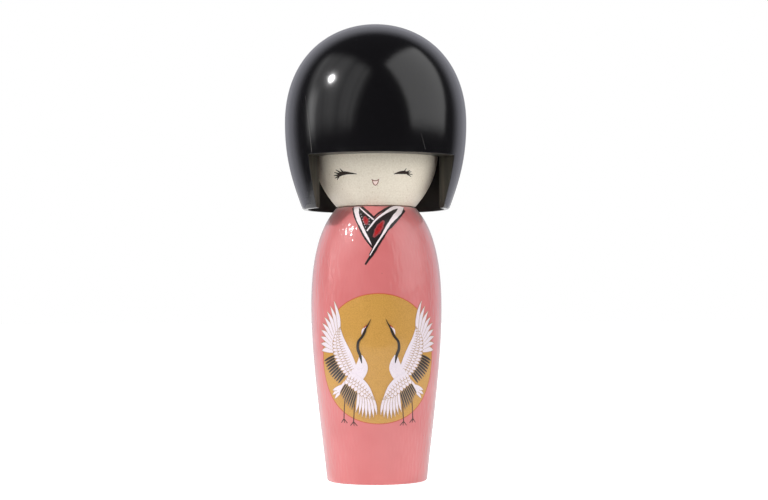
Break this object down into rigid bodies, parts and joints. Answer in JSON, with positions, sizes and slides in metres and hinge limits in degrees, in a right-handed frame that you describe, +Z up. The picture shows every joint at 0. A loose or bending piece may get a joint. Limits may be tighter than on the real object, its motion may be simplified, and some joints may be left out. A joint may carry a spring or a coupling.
{
  "type": "kokeshi doll",
  "caption": "Small turned wooden kokeshi doll: a tapering lacquered body and a head that turns on it, under a thick bobbed hair cap cut away around the face.",
  "frame": {"origin": "centre of the flat base, on the surface that the doll stands on", "axes": "+Z up along the turning axis; the face looks along -Y, +X is to the right of someone facing the doll"},
  "size_m": [0.0596, 0.0596, 0.1495],
  "materials": {
    "pink_lacquer": "high-gloss salmon-pink lacquer over turned wood",
    "black_lacquer": "high-gloss black lacquer over turned wood",
    "pale_wood": "smooth pale wood with a thin satin clear coat",
    "dowel_wood": "bare turned wood"
  },
  "bodies": {
    "body": {"body": "pink_lacquer"},
    "head": {"neck_dowel": "dowel_wood", "head": "pale_wood", "crown_dowel": "dowel_wood", "hair": "black_lacquer"}
  },
  "joints": [
    {"name": "head_turn", "type": "hinge", "parent": "body", "child": "head", "pos_m": [0, 0, 0.0893], "axis": [0, 0, 1], "continuous": true}
  ]
}
